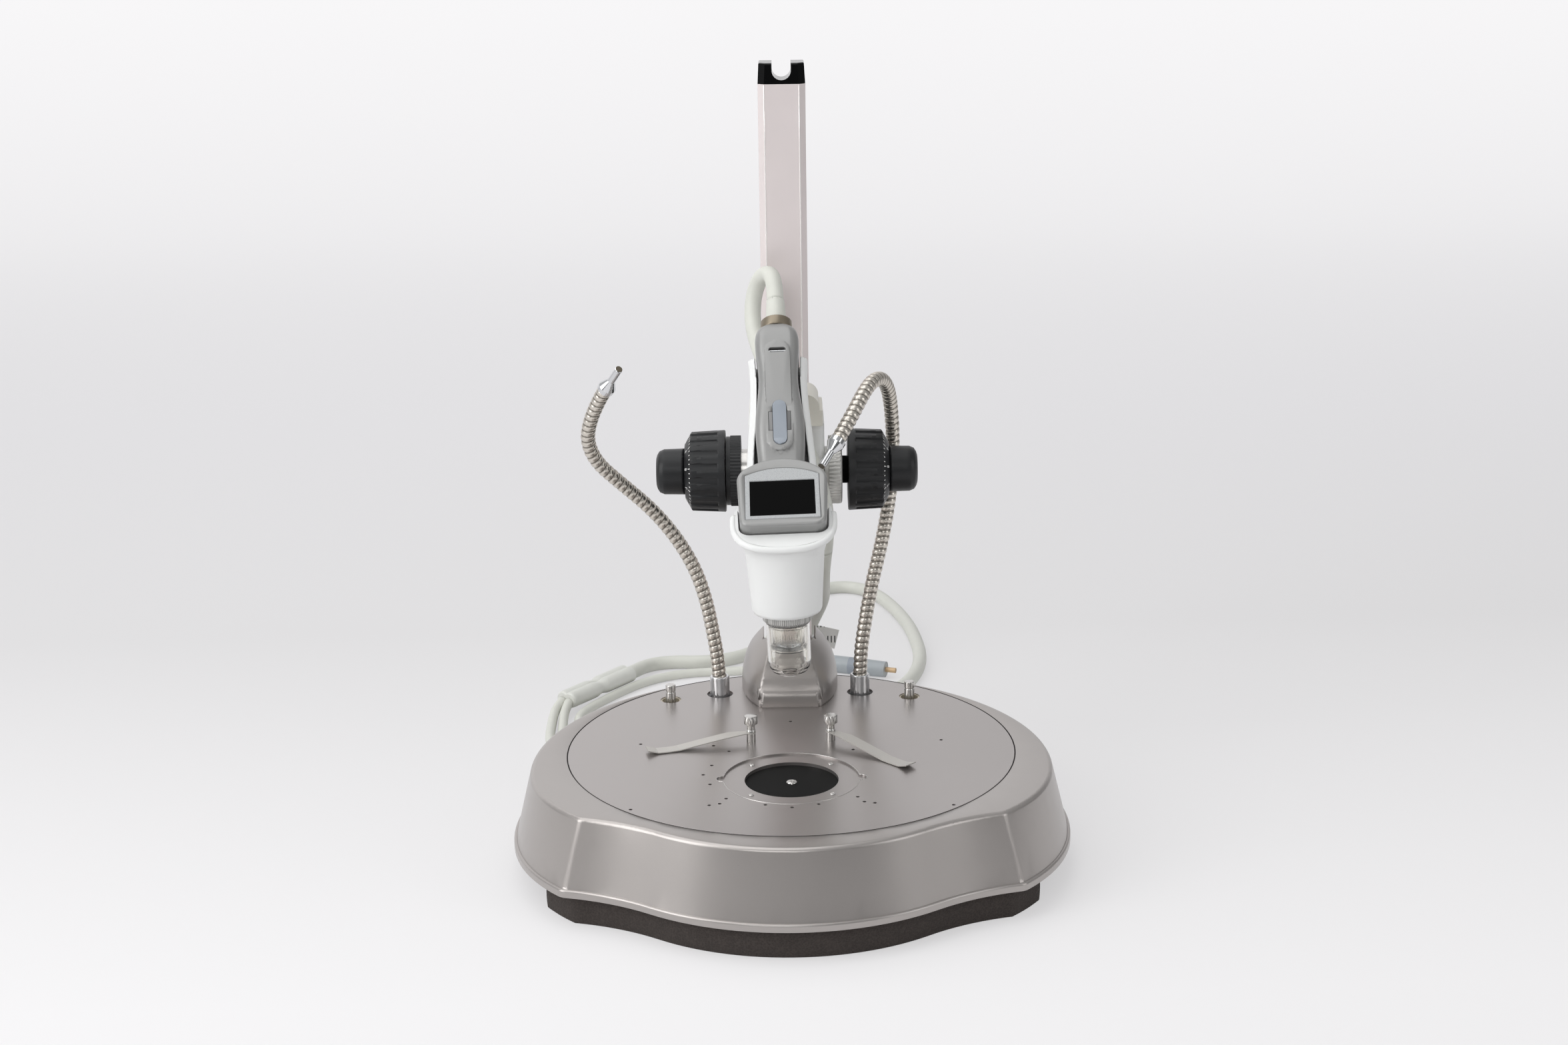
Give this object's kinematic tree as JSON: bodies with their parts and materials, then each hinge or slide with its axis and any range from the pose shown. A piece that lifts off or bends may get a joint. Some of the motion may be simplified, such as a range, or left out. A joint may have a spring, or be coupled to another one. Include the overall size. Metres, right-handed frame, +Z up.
{
  "type": "video microscope on a focusing stand",
  "caption": "Hand-held video microscope with a screen, clipped in a focusing stand over a round stage, with two bendable light guides.",
  "frame": {"origin": "middle of the base's footprint, on the surface it stands on", "axes": "+Z up along the column, +X to the user's right, +Y from the user towards the column"},
  "size_m": [0.3466, 0.7052, 0.478],
  "materials": {
    "grey_paint": "satin metallic",
    "stage_paint": "satin metallic",
    "foam": "open-cell foam, matt",
    "insert_black": "matt",
    "steel": "turned",
    "chrome": "polished",
    "brass": "turned",
    "column_aluminium": "anodised, fine brushed",
    "gloss_black": "gloss",
    "cast_silver": "satin silver",
    "cream_plastic": "satin",
    "white_plastic": "soft gloss",
    "silver_shell": "silver-painted satin",
    "pale_panel": "satin",
    "screen_glass": "gloss",
    "black_plastic": "satin",
    "clear_plastic": "clear",
    "lens_glass": "coated",
    "cable_skin": "soft satin",
    "junction_skin": "soft satin",
    "band_blue": "satin",
    "circuit_green": "solder mask",
    "paper": "paper, matt",
    "spring_steel": "satin"
  },
  "bodies": {
    "stand": {"foam_pad": "foam", "base_housing": "grey_paint", "stage_plate": "stage_paint", "stage_insert": "insert_black", "stage_screws": "chrome", "locating_pins": "steel", "pin_liners": "brass", "light_sockets": "steel", "light_guide_left": "steel", "light_guide_right": "steel", "light_tip_left": "chrome", "light_tip_right": "chrome", "light_lenses": "lens_glass", "clip_posts": "steel", "column": "column_aluminium", "column_cap": "gloss_black", "foot_cover": "grey_paint", "cable_floor": "cable_skin", "cable_junction": "junction_skin", "video_tail": "cable_skin", "light_tail": "cable_skin", "light_plug": "junction_skin", "light_plug_band": "band_blue", "light_plug_ferrule": "brass", "video_plug": "junction_skin", "cable_tag": "paper"},
    "carriage": {"focus_housing": "cast_silver", "left_bush": "black_plastic", "right_bush": "steel", "cable_drop": "cable_skin"},
    "head": {"focus_slide": "cream_plastic", "rack": "brass", "holder": "white_plastic", "unit_front_shell": "silver_shell", "unit_rear_shell": "silver_shell", "circuit_board": "circuit_green", "camera_module": "black_plastic", "screen_bezel": "pale_panel", "screen_window": "screen_glass", "strap_bar": "chrome", "cable_gland": "brass", "cable_relief": "cable_skin", "cable_upper": "cable_skin"},
    "coarse_drive": {"drive_sleeve": "steel", "coarse_knob_left": "black_plastic", "coarse_knob_right": "black_plastic"},
    "fine_drive": {"fine_shaft": "steel", "fine_knob_left": "black_plastic", "fine_knob_right": "black_plastic"},
    "tension_ring": {"tension_ring": "black_plastic"},
    "lock_ring": {"lock_ring": "steel"},
    "clip_left": {"clip_leaf_left": "spring_steel"},
    "clip_right": {"clip_leaf_right": "spring_steel"},
    "clip_nut_left": {"clip_screw_left": "steel"},
    "clip_nut_right": {"clip_screw_right": "steel"},
    "lens_unit": {"lens_ring": "steel", "clear_tip": "clear_plastic", "lens_tube": "clear_plastic", "front_lens": "lens_glass"},
    "button": {"shutter_button": "pale_panel"}
  },
  "joints": [
    {"name": "height_slide", "type": "slide", "parent": "stand", "child": "carriage", "axis": [0, 0, 1], "range_m": [-0.012, 0.02], "deforming": ["cable_drop"]},
    {"name": "focus_travel", "type": "slide", "parent": "carriage", "child": "head", "axis": [0, 0, 1], "range_m": [0, 0.025], "deforming": ["cable_upper"]},
    {"name": "coarse_turn", "type": "hinge", "parent": "carriage", "child": "coarse_drive", "pos_m": [0, 0.089, 0.224], "axis": [-1, 0, 0], "range_deg": [0, 198.95]},
    {"name": "fine_turn", "type": "hinge", "parent": "carriage", "child": "fine_drive", "pos_m": [0, 0.089, 0.224], "axis": [-1, 0, 0], "continuous": true},
    {"name": "tension_turn", "type": "hinge", "parent": "carriage", "child": "tension_ring", "pos_m": [0, 0.089, 0.224], "axis": [-1, 0, 0], "range_deg": [-90, 90]},
    {"name": "lock_turn", "type": "hinge", "parent": "carriage", "child": "lock_ring", "pos_m": [0, 0.089, 0.224], "axis": [1, 0, 0], "range_deg": [-90, 90]},
    {"name": "clip_swing_left", "type": "hinge", "parent": "stand", "child": "clip_left", "pos_m": [-0.0251, 0.022, 0.0706], "axis": [0, 0, 1], "range_deg": [-30, 60]},
    {"name": "clip_swing_right", "type": "hinge", "parent": "stand", "child": "clip_right", "pos_m": [0.0251, 0.022, 0.0706], "axis": [0, 0, 1], "range_deg": [-60, 60]},
    {"name": "clip_nut_turn_left", "type": "hinge", "parent": "stand", "child": "clip_nut_left", "pos_m": [-0.0251, 0.022, 0.0712], "axis": [0, 0, 1], "continuous": true},
    {"name": "clip_nut_turn_right", "type": "hinge", "parent": "stand", "child": "clip_nut_right", "pos_m": [0.0251, 0.022, 0.0712], "axis": [0, 0, 1], "continuous": true},
    {"name": "lens_turn", "type": "hinge", "parent": "head", "child": "lens_unit", "pos_m": [0, -0.0416, 0.132], "axis": [-0.0279, 0, 0.9996], "range_deg": [-120, 120]},
    {"name": "button_press", "type": "slide", "parent": "head", "child": "button", "axis": [0.0187, 0.7431, -0.6689], "range_m": [0, 0.0006], "stiffness_N_per_m": 900}
  ],
  "couplings": [
    {"joint": "coarse_turn", "follows": "focus_travel", "rad_per_m": 138.89}
  ]
}
